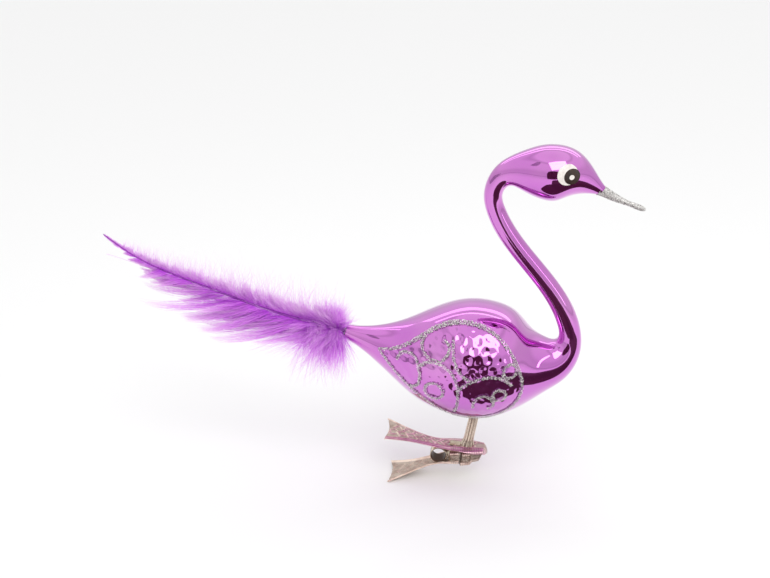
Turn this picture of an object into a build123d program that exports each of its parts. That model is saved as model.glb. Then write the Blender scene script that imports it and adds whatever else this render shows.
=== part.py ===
from build123d import *

import os
from collections import namedtuple
from math import atan2, cos, degrees, radians, sin

import numpy as np

# A blown-glass swan ornament on a spring clip.
#
# Millimetres. The origin is the grip point between the clip's jaws. +X runs forward to the beak, +Z is
# up, and the swan's right flank faces -Y. The swan is symmetrical about the plane Y = 0.

os.makedirs("parts", exist_ok=True)

# ---------------------------------------------------------------- driving dimensions

# The glass is one blown tube. Each station is a round section of it, from the open tail to the beak:
# centre X, centre Z, outer radius, and the heading of the tube in degrees above +X.
GLASS_STATIONS = [
    (-46.6, 44.4, 2.3, -17),  # open tail mouth
    (-43.4, 43.4, 3.1, -18),
    (-28.0, 39.0, 10.6, -13),
    (-22.6, 37.9, 14.1, -10),
    (3.5, 36.1, 19.4, -2),  # belly
    (9.8, 35.5, 16.9, -3),
    (15.3, 34.7, 12.7, 0),
    (20.35, 35.65, 9.4, 9),  # chest
    (24.2, 37.0, 7.4, 22),
    (28.1, 42.3, 4.6, 60),
    (27.4, 51.1, 3.6, 103),  # foot of the neck
    (2.7, 90.4, 3.1, 108),  # top of the neck
    (1.8, 95.3, 3.05, 88),
    (5.9, 102.6, 4.3, 32),
    (8.6, 103.5, 5.4, 14),
    (20.5, 103.65, 9.25, 0),  # crown
    (27.0, 103.4, 7.8, -13),
    (38.0, 97.4, 1.35, -29),  # root of the beak
    (42.5, 95.1, 0.85, -25),
    (50.6, 92.0, 0.35, -19),  # drawn tip
]
GLASS_WALL = 0.7
GLASS_SECTIONS = 36  # sections lofted along the whole tube
CAVITY_SECTIONS = 34
CAVITY_OVERRUN = 1.0  # how far the cavity runs out of the tail mouth
CAVITY_END = 179.3  # length along the stations where the beak turns solid

# Glitter coat on the beak: centre X, centre Z, radius, heading.
BEAK_COAT_STATIONS = [
    (36.2, 98.45, 2.1, -31),
    (38.0, 97.4, 1.6, -29),
    (42.5, 95.1, 1.08, -25),
    (47.0, 93.3, 0.82, -21),
    (50.6, 92.0, 0.65, -19),
    (51.2, 91.8, 0.3, -19),
]

PAINT_THICKNESS = 0.15
GLITTER_THICKNESS = 0.35
GLITTER_LINE = 1.0

# Eye, seen along Y: X and Z of each disc's centre.
PUPIL_CENTRE = (27.1, 105.3)
PUPIL_RADIUS = 2.55
GLINT_CENTRE = (27.05, 105.15)
GLINT_RADIUS = 0.8
EYE_WHITE_CENTRE = (25.7, 105.9)
EYE_WHITE_RADIUS = 3.3

# Wing drawing, seen along Y: X and Z. It is drawn by hand, and lower on the left flank.
WING_TOP = [(-35, 41.5), (-24.3, 45.8), (-14.3, 52.1), (-5.3, 54), (4.5, 50.7), (10.8, 42.6), (13.2, 34.9)]
WING_BOTTOM = [(13.2, 34.9), (12, 28.4), (5, 21.8), (-6, 20), (-15.5, 24.4), (-25.2, 31.3), (-35, 41.5)]
WING_SCROLLS = [
    [(-18.8, 49.3), (-20.2, 46), (-17.2, 42.8), (-12.6, 43.7), (-11, 47), (-13, 49)],
    [(-28.5, 39.5), (-26.8, 42.4), (-23, 42.6), (-21.2, 39.5), (-21.7, 32.4), (-24, 31)],
    [(-21.3, 38.8), (-16, 42), (-10.3, 39.8), (-7.8, 33.5), (-9.3, 23.4)],
    [(-9.6, 49.5), (-9.2, 44), (-7, 39.6), (-3.4, 37.4)],
    [(-8.1, 32.9), (-3, 37.2), (4.3, 38.5), (10, 34.5)],
    [(-2.6, 26.4), (-1.6, 30.3), (1, 31.7), (4, 28.4), (2, 26)],
]
WING_RINGS = [(-15.8, 31.6, 3.1), (5.9, 31.6, 2.1), (9.2, 39.9, 2.2)]  # X, Z, radius
LEFT_WING_DROP = 1.8

STEM_FOOT_X = -5.2
STEM_LEAN = 11.0
STEM_LENGTH = 18.4
STEM_FOOT_RADIUS = 1.8
STEM_TOP_RADIUS = 1.55
STEM_BORE_RADIUS = 0.8
STEM_FLUTES = 10
STEM_FLUTE_RADIUS = 0.22
STEM_COLLAR_RADIUS = 2.3
STEM_COLLAR_HEIGHT = 0.6
STEM_RIM_RADIUS = 2.2
STEM_RIM_HEIGHT = 0.2
STEM_TAIL = 0.5  # how far the stem reaches down through the lever
BELLY_HOLE_RADIUS = 2.2
BELLY_BEAD_RADIUS = 2.8
BELLY_BEAD_START = 12.4  # along the stem
BELLY_BEAD_END = 15.4

SHEET = 0.4  # tin sheet of the levers
ROLL_X = -14.9  # centre of the spring's roll, on which both levers rock
# X and Z of the middle of each lever's sheet: at the handle's tail, over the roll and at the nose, with
# the Z that the tooth tips reach. The lower lever is drawn upside down, as if it were the upper one.
Lever = namedtuple("Lever", "tail roll nose tooth_z")
UPPER_LEVER = Lever(tail=(-32.6, 8.0), roll=(ROLL_X, 3.4), nose=(1.2, 2.4), tooth_z=0.15)
LOWER_LEVER = Lever(tail=(-31.4, 8.6), roll=(ROLL_X, 3.2), nose=(-0.7, 1.9), tooth_z=-0.5)
LEVER_TAIL_HALF_WIDTH = 7.75
FISHTAIL_DEPTH = 1.2
LEVER_WAIST_HALF_WIDTH = 3.6
LEVER_JAW_HALF_WIDTH = 4.5
FLANGE_DEPTH = 1.4
FLANGE_START = -24.0
FLANGE_END = -9.4
TOOTH_PITCH = 2.0
TOOTH_BLUNT = 0.1
SLOT_CENTRE = -11.3
SLOT_LENGTH = 1.4
SLOT_WIDTH = 3.6

STRIP = 0.35  # spring strip
STRIP_WIDTH = 3.2  # of the legs
ROLL_WIDTH = 6.0
ROLL_RADIUS = 2.7  # of the strip's middle
ROLL_NECK_ANGLE = 22.0

# Quill of the feather: X, Z, radius, from the root inside the tail to the tip.
QUILL_STATIONS = [
    (-40, 42.4, 0.55),
    (-48.7, 44.9, 0.52),
    (-69.4, 50.2, 0.42),
    (-87.5, 56.5, 0.34),
    (-103, 62.3, 0.26),
    (-117.3, 69, 0.18),
    (-127.9, 76.8, 0.12),
]
QUILL_SECTIONS = 20
VANE_UPPER_EDGE = [(-56, 56.5), (-70, 60.5), (-86, 66.5), (-104, 68.5), (-118, 73.5), (-127.6, 76.7)]
VANE_LOWER_EDGE = [(-56, 36), (-70, 37), (-84, 40.5), (-99, 48.5), (-113, 60.5), (-127.6, 76.5)]
VANE_THICKNESS = 2.4
VANE_START = -54.5  # the vanes end here in the down
# Down at the quill's foot: X, Z, radius.
FLUFF_STATIONS = [(-47.9, 44.7, 3.0), (-50.0, 45.2, 7.5), (-53.0, 46.0, 10.0), (-56.8, 47.0, 9.5)]
FLUFF_HEADING = -15.0

TAIL_BEAD_OUT = 0.5
TAIL_BEAD_IN = 2.5
TAIL_BEAD_INSET = 0.2

FLANK_REACH = 30  # from the middle plane to beyond either flank


# ---------------------------------------------------------------- shared geometry


def natural_cubic(knots, values):
    """Natural cubic spline through values at knots."""
    step = np.diff(knots)
    slope = np.diff(values) / step
    system = np.eye(len(knots))
    right = np.zeros(len(knots))
    for i in range(1, len(knots) - 1):
        system[i, i - 1 : i + 2] = step[i - 1], 2 * (step[i - 1] + step[i]), step[i]
        right[i] = 6 * (slope[i] - slope[i - 1])
    bend = np.linalg.solve(system, right)

    def at(s):
        i = min(max(np.searchsorted(knots, s) - 1, 0), len(step) - 1)
        a = (knots[i + 1] - s) / step[i]
        b = 1 - a
        curl = ((a**3 - a) * bend[i] + (b**3 - b) * bend[i + 1]) * step[i] ** 2 / 6
        return float(a * values[i] + b * values[i + 1] + curl)

    return at


def section_plane(x, z, heading):
    """Plane square to a tube that passes (x, z) with this heading."""
    angle = radians(heading)
    return Plane(origin=(x, 0, z), x_dir=(-sin(angle), 0, cos(angle)), z_dir=(cos(angle), 0, sin(angle)))


def through_stations(stations):
    """Whole length along the stations, and a natural cubic of that length for each of their columns."""
    table = np.array(stations, dtype=float)
    knots = np.concatenate([[0], np.cumsum(np.hypot(np.diff(table[:, 0]), np.diff(table[:, 1])))])
    return knots[-1], *(natural_cubic(knots, column) for column in table.T)


GLASS_LENGTH, glass_x, glass_z, glass_radius, glass_heading = through_stations(GLASS_STATIONS)
QUILL_LENGTH, quill_x, quill_z, quill_radius = through_stations(QUILL_STATIONS)


def blown_tube(grow, first, last, count):
    """Solid of the glass tube with every radius grown, between two lengths along the stations."""
    with BuildPart() as tube:
        for s in np.linspace(first, last, count):
            with BuildSketch(section_plane(glass_x(s), glass_z(s), glass_heading(s))):
                Circle(glass_radius(s) + grow)
        loft()
    return tube.part


def round_loft(sections):
    """Solid through round sections given as (x, z, radius, heading)."""
    with BuildPart() as body:
        for x, z, radius, heading in sections:
            with BuildSketch(section_plane(x, z, heading)):
                Circle(radius)
        loft()
    return body.part


def finish(builder, name):
    """Label a finished sub-part and write its file."""
    builder.part.label = name
    export_step(builder.part, f"parts/{name}.step")


def lever_height(lever, x):
    """Z of the middle of a lever's sheet, ahead of the spring's roll and behind it."""
    end = lever.nose if x > lever.roll[0] else lever.tail
    return lever.roll[1] + (x - lever.roll[0]) * (end[1] - lever.roll[1]) / (end[0] - lever.roll[0])


# The stem leans forward, and its collar lies flat on the upper lever's jaw.
stem_foot = (STEM_FOOT_X, 0, lever_height(UPPER_LEVER, STEM_FOOT_X) + SHEET / 2)
stem_angle = radians(STEM_LEAN)
stem_plane = Plane(
    origin=stem_foot,
    x_dir=(cos(stem_angle), 0, -sin(stem_angle)),
    z_dir=(sin(stem_angle), 0, cos(stem_angle)),
)
jaw_slope = lever_height(UPPER_LEVER, 0) - lever_height(UPPER_LEVER, -1)
jaw_plane = Plane(origin=stem_foot, x_dir=(1, 0, jaw_slope), z_dir=(-jaw_slope, 0, 1))

# ---------------------------------------------------------------- glass

glass_outside = blown_tube(0, 0, GLASS_LENGTH, GLASS_SECTIONS)
glass_cavity = blown_tube(-GLASS_WALL, -CAVITY_OVERRUN, CAVITY_END, CAVITY_SECTIONS)
paint_outside = blown_tube(PAINT_THICKNESS, 0, GLASS_LENGTH, GLASS_SECTIONS)
glitter_outside = blown_tube(GLITTER_THICKNESS, 0, GLASS_LENGTH, GLASS_SECTIONS)

with BuildPart() as glass_swan:
    add(glass_outside)
    add(glass_cavity, mode=Mode.SUBTRACT)
    with BuildSketch(stem_plane):
        Circle(BELLY_HOLE_RADIUS)
    extrude(amount=STEM_LENGTH, mode=Mode.SUBTRACT)
finish(glass_swan, "glass_swan")

with BuildPart() as beak_glitter:
    add(round_loft(BEAK_COAT_STATIONS))
    add(glass_outside, mode=Mode.SUBTRACT)
finish(beak_glitter, "beak_glitter")

# ---------------------------------------------------------------- paint and glitter on both sides

for side, reach, drop in (("right", FLANK_REACH, 0), ("left", -FLANK_REACH, LEFT_WING_DROP)):
    with BuildPart() as eye_white:
        with BuildSketch(Plane.XZ):
            with Locations(EYE_WHITE_CENTRE):
                Circle(EYE_WHITE_RADIUS)
            with Locations(PUPIL_CENTRE):
                Circle(PUPIL_RADIUS, mode=Mode.SUBTRACT)
        extrude(amount=reach)
        add(paint_outside, mode=Mode.INTERSECT)
        add(glass_outside, mode=Mode.SUBTRACT)
    finish(eye_white, f"eye_white_{side}")

    with BuildPart() as eye_pupil:
        with BuildSketch(Plane.XZ):
            with Locations(PUPIL_CENTRE):
                Circle(PUPIL_RADIUS)
            with Locations(GLINT_CENTRE):
                Circle(GLINT_RADIUS, mode=Mode.SUBTRACT)
        extrude(amount=reach)
        add(paint_outside, mode=Mode.INTERSECT)
        add(glass_outside, mode=Mode.SUBTRACT)
    finish(eye_pupil, f"eye_pupil_{side}")

    with BuildPart() as eye_glint:
        with BuildSketch(Plane.XZ):
            with Locations(GLINT_CENTRE):
                Circle(GLINT_RADIUS)
        extrude(amount=reach)
        add(paint_outside, mode=Mode.INTERSECT)
        add(glass_outside, mode=Mode.SUBTRACT)
    finish(eye_glint, f"eye_glint_{side}")

    with BuildPart() as wing_glitter:
        with BuildSketch(Plane(origin=(0, 0, -drop), x_dir=(1, 0, 0), z_dir=(0, -1, 0))):
            for points in (WING_TOP, WING_BOTTOM, *WING_SCROLLS):
                with BuildLine() as stroke:
                    Spline(*points)
                trace(line_width=GLITTER_LINE)
            for x, z, radius in WING_RINGS:
                with Locations((x, z)):
                    Circle(radius + GLITTER_LINE / 2)
                    Circle(radius - GLITTER_LINE / 2, mode=Mode.SUBTRACT)
        extrude(amount=reach)
        add(glitter_outside, mode=Mode.INTERSECT)
        add(glass_outside, mode=Mode.SUBTRACT)
    finish(wing_glitter, f"wing_glitter_{side}")

# ---------------------------------------------------------------- stem


def flute_section(radius):
    """Round bar section with narrow grooves down its outside."""
    Circle(radius)
    with PolarLocations(radius, STEM_FLUTES):
        Circle(STEM_FLUTE_RADIUS, mode=Mode.SUBTRACT)


with BuildPart() as clip_stem:
    with BuildSketch(stem_plane.offset(-STEM_TAIL)):
        flute_section(STEM_FOOT_RADIUS)
    with BuildSketch(stem_plane.offset(STEM_LENGTH)):
        flute_section(STEM_TOP_RADIUS)
    loft()
    with BuildSketch(jaw_plane):
        Circle(STEM_COLLAR_RADIUS)
    extrude(amount=STEM_COLLAR_HEIGHT, taper=30)
    with BuildSketch(jaw_plane.offset(-SHEET)):
        Circle(STEM_RIM_RADIUS)
    extrude(amount=-STEM_RIM_HEIGHT)
    with BuildSketch(stem_plane):
        Circle(STEM_BORE_RADIUS)
    extrude(amount=STEM_LENGTH + 1, both=True, mode=Mode.SUBTRACT)
finish(clip_stem, "clip_stem")

with BuildPart() as belly_bead:
    with BuildSketch(stem_plane.offset(BELLY_BEAD_START)):
        Circle(BELLY_BEAD_RADIUS)
        Circle((STEM_BORE_RADIUS + STEM_TOP_RADIUS) / 2, mode=Mode.SUBTRACT)
    extrude(amount=BELLY_BEAD_END - BELLY_BEAD_START)
    add(glass_swan.part, mode=Mode.SUBTRACT)
    add(clip_stem.part, mode=Mode.SUBTRACT)
finish(belly_bead, "belly_glue_bead")

# ---------------------------------------------------------------- feather

with BuildPart() as feather_quill:
    for s in np.linspace(0, QUILL_LENGTH, QUILL_SECTIONS):
        heading = degrees(atan2(quill_z(s + 1) - quill_z(s - 1), quill_x(s + 1) - quill_x(s - 1)))
        with BuildSketch(section_plane(quill_x(s), quill_z(s), heading)):
            Circle(quill_radius(s))
    loft(ruled=True)
finish(feather_quill, "feather_quill")

with BuildPart() as feather_fluff:
    add(round_loft([(*station, FLUFF_HEADING) for station in FLUFF_STATIONS]))
    add(feather_quill.part, mode=Mode.SUBTRACT)
finish(feather_fluff, "feather_fluff")

quill_line = [(x, z) for x, z, radius in QUILL_STATIONS[1:]]
for name, edge in (("feather_vane_upper", VANE_UPPER_EDGE), ("feather_vane_lower", VANE_LOWER_EDGE)):
    with BuildPart() as vane:
        with BuildSketch(Plane.XZ):
            with BuildLine():
                shaft = Spline(*quill_line)
                barb_ends = Spline(*edge)
                Line(shaft @ 0, barb_ends @ 0)
                Line(shaft @ 1, barb_ends @ 1)
            make_face()
        extrude(amount=VANE_THICKNESS / 2, both=True)
        add(feather_fluff.part, mode=Mode.SUBTRACT)
        add(feather_quill.part, mode=Mode.SUBTRACT)
        split(bisect_by=Plane.YZ.offset(VANE_START), keep=Keep.BOTTOM)
    finish(vane, name)

mouth_x, mouth_z, mouth_radius, mouth_heading = GLASS_STATIONS[0]
tail_plane = section_plane(mouth_x, mouth_z, mouth_heading)
with BuildPart() as tail_bead:
    with BuildSketch(tail_plane.offset(-TAIL_BEAD_OUT)):
        Circle(mouth_radius - TAIL_BEAD_INSET)
    extrude(amount=TAIL_BEAD_OUT + TAIL_BEAD_IN)
    add(glass_swan.part, mode=Mode.SUBTRACT)
    add(feather_quill.part, mode=Mode.SUBTRACT)
finish(tail_bead, "tail_glue_bead")

# ---------------------------------------------------------------- clip levers


def lever_plan(lever, inset=0.0):
    """Plan of a lever: fishtail handle, narrow waist, broad jaw with a blunt front."""
    tail_x = lever.tail[0] - FISHTAIL_DEPTH / 2
    nose_x = lever.nose[0] + 0.6
    with BuildSketch() as plan:
        with BuildLine():
            edge = Spline(
                (tail_x, LEVER_TAIL_HALF_WIDTH - inset),
                (tail_x + 8.4, 4.6 - inset),
                (ROLL_X, LEVER_WAIST_HALF_WIDTH - inset),
                (-9.5, LEVER_JAW_HALF_WIDTH - inset),
                (nose_x - 3.8, LEVER_JAW_HALF_WIDTH - 0.1 - inset),
                (nose_x, LEVER_JAW_HALF_WIDTH - 1.6 - inset),
            )
            Line(edge @ 1, (nose_x, 0))
            mirror(about=Plane.XZ)
            corner = edge @ 0
            ThreePointArc(corner, (tail_x + FISHTAIL_DEPTH, 0), (corner.X, -corner.Y))
        make_face()
    return plan.sketch


def stamped_lever(lever):
    """A lever of the clip, drawn as the upper one."""
    outline = lever_plan(lever)
    inside = lever_plan(lever, SHEET)

    with BuildPart() as flanges:
        with BuildSketch(Plane.XZ):
            with BuildLine():
                Polyline(
                    (FLANGE_START, lever_height(lever, FLANGE_START)),
                    lever.roll,
                    (FLANGE_END, lever_height(lever, FLANGE_END)),
                    (FLANGE_END - 0.8, lever_height(lever, FLANGE_END) - FLANGE_DEPTH),
                    (ROLL_X, lever.roll[1] - FLANGE_DEPTH),
                    close=True,
                )
            make_face()
        extrude(amount=LEVER_TAIL_HALF_WIDTH, both=True)
        with BuildSketch(Plane.XY):
            add(outline)
            add(inside, mode=Mode.SUBTRACT)
        extrude(amount=2 * lever.tail[1], mode=Mode.INTERSECT)

    with BuildPart() as stamping:
        with BuildSketch(Plane.XZ):
            with BuildLine():
                FilletPolyline(
                    lever.tail,
                    lever.roll,
                    (lever.nose[0] - 0.5, lever.nose[1]),
                    (lever.nose[0] + 0.2, lever.tooth_z),
                    radius=(6, 0.8),
                )
            trace(line_width=SHEET)
        extrude(amount=LEVER_TAIL_HALF_WIDTH, both=True)
        with BuildSketch(Plane.XY.offset(-lever.tail[1])):
            add(outline)
            with Locations((SLOT_CENTRE, 0)):
                Rectangle(SLOT_LENGTH, SLOT_WIDTH, mode=Mode.SUBTRACT)
        extrude(amount=3 * lever.tail[1], mode=Mode.INTERSECT)
        with BuildSketch(Plane.YZ.offset(lever.nose[0] - 1)):
            with Locations((0, lever.tooth_z - TOOTH_BLUNT)):
                with GridLocations(TOOTH_PITCH, 1, 4, 1):
                    Triangle(a=TOOTH_PITCH, B=55, C=55, align=(Align.CENTER, Align.MIN))
        extrude(amount=3, mode=Mode.SUBTRACT)
        add(flanges.part)
    return stamping.part


with BuildPart() as clip_upper_lever:
    add(stamped_lever(UPPER_LEVER))
    add(clip_stem.part, mode=Mode.SUBTRACT)
    with BuildSketch(stem_plane):
        Circle((STEM_BORE_RADIUS + STEM_TOP_RADIUS) / 2)
    extrude(amount=2 * SHEET, both=True, mode=Mode.SUBTRACT)
finish(clip_upper_lever, "clip_upper_lever")

with BuildPart() as clip_lower_lever:
    add(stamped_lever(LOWER_LEVER).mirror(Plane.XY))
finish(clip_lower_lever, "clip_lower_lever")

# ---------------------------------------------------------------- clip spring

neck_angle = radians(ROLL_NECK_ANGLE)
neck_start = (ROLL_X + ROLL_RADIUS * cos(neck_angle), ROLL_RADIUS * sin(neck_angle))
with BuildPart() as clip_spring:
    with BuildSketch(Plane.XZ):
        with BuildLine():
            CenterArc((ROLL_X, 0), ROLL_RADIUS, ROLL_NECK_ANGLE, 360 - 2 * ROLL_NECK_ANGLE)
        trace(line_width=STRIP)
    extrude(amount=ROLL_WIDTH / 2, both=True)
    with BuildSketch(Plane.XZ):
        for leg_length, curl in ((3.1, 0), (3.4, 200)):
            with BuildLine():
                neck = JernArc(neck_start, (sin(neck_angle), -cos(neck_angle)), 0.55, 153)
                riser = PolarLine(neck @ 1, 1.95, 85)
                shoulder = JernArc(riser @ 1, riser % 1, 0.5, -88.6)
                leg = PolarLine(shoulder @ 1, leg_length, -3.6)
                if curl:
                    JernArc(leg @ 1, leg % 1, 0.45, curl)
            trace(line_width=STRIP)
            mirror(about=Plane.XZ, mode=Mode.REPLACE)
    extrude(amount=STRIP_WIDTH / 2, both=True)
finish(clip_spring, "clip_spring")
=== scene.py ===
from math import cos, pi, radians, sin

import bpy
import numpy as np
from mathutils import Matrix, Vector


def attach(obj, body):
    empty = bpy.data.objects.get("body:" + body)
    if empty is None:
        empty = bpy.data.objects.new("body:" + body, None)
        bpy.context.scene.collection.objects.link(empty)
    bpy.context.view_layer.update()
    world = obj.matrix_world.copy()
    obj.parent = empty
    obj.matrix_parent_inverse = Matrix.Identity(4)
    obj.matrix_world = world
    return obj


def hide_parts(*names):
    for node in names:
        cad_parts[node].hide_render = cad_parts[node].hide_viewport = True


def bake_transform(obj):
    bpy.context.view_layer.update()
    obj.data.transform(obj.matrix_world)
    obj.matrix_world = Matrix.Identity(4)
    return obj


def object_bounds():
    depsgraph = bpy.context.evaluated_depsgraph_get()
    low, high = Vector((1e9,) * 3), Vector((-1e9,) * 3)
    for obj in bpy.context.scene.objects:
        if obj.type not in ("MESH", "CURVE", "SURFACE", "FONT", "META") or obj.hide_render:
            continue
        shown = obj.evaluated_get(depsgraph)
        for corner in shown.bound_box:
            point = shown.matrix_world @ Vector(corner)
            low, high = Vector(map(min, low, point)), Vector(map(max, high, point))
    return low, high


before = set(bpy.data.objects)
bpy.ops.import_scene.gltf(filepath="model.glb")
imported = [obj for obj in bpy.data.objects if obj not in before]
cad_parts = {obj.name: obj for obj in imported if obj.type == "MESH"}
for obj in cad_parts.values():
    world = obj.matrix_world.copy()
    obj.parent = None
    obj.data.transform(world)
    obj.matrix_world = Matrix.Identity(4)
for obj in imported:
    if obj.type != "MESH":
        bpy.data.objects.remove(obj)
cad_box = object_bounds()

# Looks of the blown-glass swan on its spring clip. Lengths are millimetres in the CAD's frame until
# new_piece() turns them into metres, and the stage is in metres. +X runs to the beak, +Z is up, and
# the right flank faces -Y.

MM = 0.001
LEFTWARD = np.array([0, 1.0, 0])
SHEET = 0.4  # tin sheet of the levers
ROLL_X = -14.9  # centre of the spring's roll
SEED = 7

rng = np.random.default_rng(SEED)

# The glass tube, as in the CAD: centre X, centre Z, outer radius, heading above +X.
GLASS_STATIONS = [
    (-46.6, 44.4, 2.3, -17),
    (-43.4, 43.4, 3.1, -18),
    (-28.0, 39.0, 10.6, -13),
    (-22.6, 37.9, 14.1, -10),
    (3.5, 36.1, 19.4, -2),
    (9.8, 35.5, 16.9, -3),
    (15.3, 34.7, 12.7, 0),
    (20.35, 35.65, 9.4, 9),
    (24.2, 37.0, 7.4, 22),
    (28.1, 42.3, 4.6, 60),
    (27.4, 51.1, 3.6, 103),
    (2.7, 90.4, 3.1, 108),
    (1.8, 95.3, 3.05, 88),
    (5.9, 102.6, 4.3, 32),
    (8.6, 103.5, 5.4, 14),
    (20.5, 103.65, 9.25, 0),
    (27.0, 103.4, 7.8, -13),
    (38.0, 97.4, 1.35, -29),
    (42.5, 95.1, 0.85, -25),
    (50.6, 92.0, 0.35, -19),
]
GLASS_WALL = 0.7
# Outline of the right flank's wing drawing: X and Z.
WING_OUTLINE = [
    (-35, 41.5), (-24.3, 45.8), (-14.3, 52.1), (-5.3, 54), (4.5, 50.7), (10.8, 42.6), (13.2, 34.9),
    (12, 28.4), (5, 21.8), (-6, 20), (-15.5, 24.4), (-25.2, 31.3),
]
LEFT_WING_DROP = 1.8  # the left flank's drawing sits this much lower
# The quill, as in the CAD from where it leaves the tail: X, Z, radius.
QUILL_STATIONS = [
    (-40, 42.4, 0.55),
    (-48.7, 44.9, 0.52),
    (-69.4, 50.2, 0.42),
    (-87.5, 56.5, 0.34),
    (-103, 62.3, 0.26),
    (-117.3, 69, 0.18),
    (-127.9, 76.8, 0.12),
]


# ---------------------------------------------------------------- shared geometry


def natural_cubic(knots, values):
    """Natural cubic spline through values at knots, for an array of places."""
    step = np.diff(knots)
    slope = np.diff(values) / step
    system = np.eye(len(knots))
    right = np.zeros(len(knots))
    for i in range(1, len(knots) - 1):
        system[i, i - 1 : i + 2] = step[i - 1], 2 * (step[i - 1] + step[i]), step[i]
        right[i] = 6 * (slope[i] - slope[i - 1])
    bend = np.linalg.solve(system, right)

    def at(s):
        i = np.clip(np.searchsorted(knots, s) - 1, 0, len(step) - 1)
        a = (knots[i + 1] - s) / step[i]
        b = 1 - a
        curl = ((a**3 - a) * bend[i] + (b**3 - b) * bend[i + 1]) * step[i] ** 2 / 6
        return a * values[i] + b * values[i + 1] + curl

    return at


def through_stations(stations):
    """Whole length along the stations, and a natural cubic of that length for each of their columns."""
    table = np.array(stations, dtype=float)
    knots = np.concatenate([[0], np.cumsum(np.hypot(np.diff(table[:, 0]), np.diff(table[:, 1])))])
    return knots[-1], *(natural_cubic(knots, column) for column in table.T)


def unit(vectors):
    return vectors / np.maximum(np.linalg.norm(vectors, axis=-1, keepdims=True), 1e-9)


def smooth_step(low, high, value):
    t = np.clip((value - low) / (high - low), 0, 1)
    return t * t * (3 - 2 * t)


def grid_faces(rows, columns, closed=False):
    """Quads of a grid of points numbered row by row; closed joins its last column to its first."""
    last = columns if closed else columns - 1
    row, column = np.meshgrid(np.arange(rows - 1), np.arange(last), indexing="ij")
    beside = (column + 1) % columns
    quads = [row * columns + column, row * columns + beside]
    quads += [quads[1] + columns, quads[0] + columns]
    return np.stack(quads, axis=-1).reshape(-1, 4)


def tube_faces(rings, sides):
    """Quads of a tube of rings of points numbered ring by ring, with a flat face on each end."""
    last = (rings - 1) * sides
    faces = grid_faces(rings, sides, closed=True).tolist()
    return faces + [list(range(sides))[::-1], list(range(last, last + sides))]


def directions_round(up, sides):
    """Outward directions round a tube that runs in the XZ plane, a ring of them for each up.

    up holds directions square to the tube in that plane, one for each ring.
    """
    turn = np.linspace(0, 2 * pi, sides, endpoint=False)
    return np.cos(turn)[None, :, None] * up[:, None, :] + np.sin(turn)[None, :, None] * LEFTWARD


def new_piece(name, points, faces, material, replaces=(), body="swan", sharp=None):
    """A visible piece from points in millimetres and faces, riding on a body."""
    mesh = bpy.data.meshes.new(name)
    places = (np.asarray(points).reshape(-1, 3) * MM).tolist()
    mesh.from_pydata(places, [], [list(map(int, face)) for face in faces])
    mesh.shade_smooth()
    if sharp:
        mesh.set_sharp_from_angle(angle=radians(sharp))
    mesh.materials.append(material)
    piece = bpy.data.objects.new(name, mesh)
    bpy.context.scene.collection.objects.link(piece)
    if body:
        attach(piece, body)
    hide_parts(*replaces)
    return piece


def give_attribute(piece, name, values):
    """Stores one number per point, which the piece's material reads."""
    attribute = piece.data.attributes.new(name, "FLOAT", "POINT")
    attribute.data.foreach_set("value", np.asarray(values, dtype=np.float32).ravel())


# ---------------------------------------------------------------- materials


def new_material(name, **settings):
    """A material with one Principled shader, and the sockets given by name set on it."""
    material = bpy.data.materials.new(name)
    material.use_nodes = True
    shader = material.node_tree.nodes["Principled BSDF"]
    for socket, value in settings.items():
        shader.inputs[socket.replace("_", " ")].default_value = value
    return material, material.node_tree, shader


def add_noise(tree, scale, detail=3.0, kind="ShaderNodeTexNoise"):
    """Noise that runs over the object in metres, scale counted per millimetre."""
    place = tree.nodes.new("ShaderNodeTexCoord")
    noise = tree.nodes.new(kind)
    noise.inputs["Scale"].default_value = scale / MM
    if "Detail" in noise.inputs:
        noise.inputs["Detail"].default_value = detail
    tree.links.new(place.outputs["Object"], noise.inputs["Vector"])
    return noise


def add_ramp(tree, factor, *stops):
    """Colour ramp with stops of (position, colour)."""
    ramp = tree.nodes.new("ShaderNodeValToRGB")
    elements = ramp.color_ramp.elements
    while len(elements) < len(stops):
        elements.new(0.5)
    for element, (position, colour) in zip(elements, stops):
        element.position = position
        element.color = (*colour, 1)
    tree.links.new(factor, ramp.inputs["Fac"])
    return ramp.outputs["Color"]


def add_range(tree, value, low, high):
    """The value, from 0 to 1, spread from low to high."""
    spread = tree.nodes.new("ShaderNodeMapRange")
    spread.inputs["To Min"].default_value = low
    spread.inputs["To Max"].default_value = high
    tree.links.new(value, spread.inputs["Value"])
    return spread.outputs["Result"]


def add_bump(tree, shader, height, strength, distance):
    bump = tree.nodes.new("ShaderNodeBump")
    bump.inputs["Strength"].default_value = strength
    bump.inputs["Distance"].default_value = distance * MM
    tree.links.new(height, bump.inputs["Height"])
    tree.links.new(bump.outputs["Normal"], shader.inputs["Normal"])


def add_attribute(tree, name):
    attribute = tree.nodes.new("ShaderNodeAttribute")
    attribute.attribute_name = name
    return attribute.outputs["Fac"]


def silvered_glass():
    """Mirror coat under tinted lacquer, with a clear shine and a faint waviness."""
    material, tree, shader = new_material(
        "purple_silvered_glass", Metallic=1.0, Coat_Weight=1.0, Coat_Roughness=0.02, Coat_IOR=1.5
    )
    lacquer = add_noise(tree, 0.045, 2.0)
    colour = add_ramp(
        tree, lacquer.outputs["Fac"], (0.3, (0.58, 0.15, 0.62)), (0.55, (0.65, 0.21, 0.65)),
        (0.75, (0.70, 0.28, 0.68)),
    )
    tree.links.new(colour, shader.inputs["Base Color"])
    haze = add_noise(tree, 0.2, 4.0)
    tree.links.new(add_range(tree, haze.outputs["Fac"], 0.03, 0.08), shader.inputs["Roughness"])
    waviness = add_noise(tree, 0.16, 1.0)
    add_bump(tree, shader, waviness.outputs["Fac"], 0.25, 0.25)
    return material


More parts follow.
